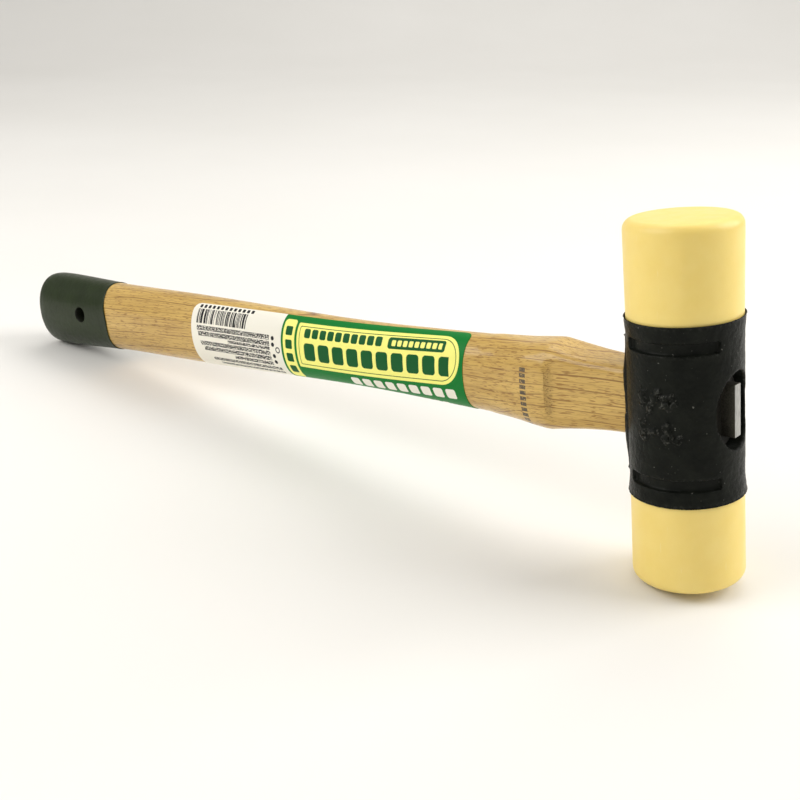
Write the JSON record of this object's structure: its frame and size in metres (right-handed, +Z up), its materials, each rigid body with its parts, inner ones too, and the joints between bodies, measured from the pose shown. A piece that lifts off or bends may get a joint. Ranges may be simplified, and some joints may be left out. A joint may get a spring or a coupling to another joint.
{
  "type": "dead blow mallet",
  "caption": "Small soft-faced mallet: cast head with screw-on plastic faces and shot chambers, wedged on an oval wooden handle with a dipped butt.",
  "frame": {"origin": "on the floor under the middle of the resting mallet's bounding box", "axes": "+X forward along the handle from butt to head, +Y across the handle, +Z up from the floor; the mallet rests on the edge of its lower face and on its butt, so the head leans back by the rest tilt"},
  "size_m": [0.3212, 0.0312, 0.1015],
  "materials": {
    "casting_paint": "semi-gloss black paint over rough casting",
    "face_plastic": "satin pale yellow plastic",
    "washer_rubber": "matt black rubber",
    "bare_steel": "turned steel",
    "shot_steel": "polished balls",
    "handle_wood": "varnished, long open grain",
    "wedge_steel": "sheared end bright, sides dark",
    "label_paper": "glossy printed film, white and green fields",
    "butt_paint": "dipped dark olive green coat"
  },
  "bodies": {
    "hammer_body": {"head_casting": "casting_paint", "handle": "handle_wood", "handle_label": "label_paper", "butt_coat": "butt_paint", "steel_wedge": "wedge_steel", "upper_chamber_plug": "bare_steel", "lower_chamber_plug": "bare_steel"},
    "upper_washer_body": {"upper_lock_washer": "washer_rubber"},
    "upper_face_body": {"upper_face": "face_plastic"},
    "lower_washer_body": {"lower_lock_washer": "washer_rubber"},
    "lower_face_body": {"lower_face": "face_plastic"},
    "upper_shot_body": {"upper_shot": "shot_steel"},
    "lower_shot_body": {"lower_shot": "shot_steel"}
  },
  "joints": [
    {"name": "upper_face_travel", "type": "slide", "parent": "hammer_body", "child": "upper_washer_body", "axis": [-0.1208, 0, 0.9927], "range_m": [0, 0.0151]},
    {"name": "upper_face_turn", "type": "hinge", "parent": "upper_washer_body", "child": "upper_face_body", "pos_m": [0.13987, 0, 0.05066], "axis": [-0.1208, 0, 0.9927], "range_deg": [0, 3600]},
    {"name": "upper_shot_throw", "type": "slide", "parent": "hammer_body", "child": "upper_shot_body", "axis": [-0.1208, 0, 0.9927], "range_m": [0, 0.0054]},
    {"name": "lower_face_travel", "type": "slide", "parent": "hammer_body", "child": "lower_washer_body", "axis": [0.1208, 0, -0.9927], "range_m": [0, 0.0151]},
    {"name": "lower_face_turn", "type": "hinge", "parent": "lower_washer_body", "child": "lower_face_body", "pos_m": [0.13987, 0, 0.05066], "axis": [0.1208, 0, -0.9927], "range_deg": [0, 3600]},
    {"name": "lower_shot_throw", "type": "slide", "parent": "hammer_body", "child": "lower_shot_body", "axis": [-0.1208, 0, 0.9927], "range_m": [0, 0.0054]}
  ],
  "couplings": [
    {"joint": "upper_face_travel", "follows": "upper_face_turn", "m_per_rad": 0.00023873},
    {"joint": "lower_face_travel", "follows": "lower_face_turn", "m_per_rad": 0.00023873}
  ]
}
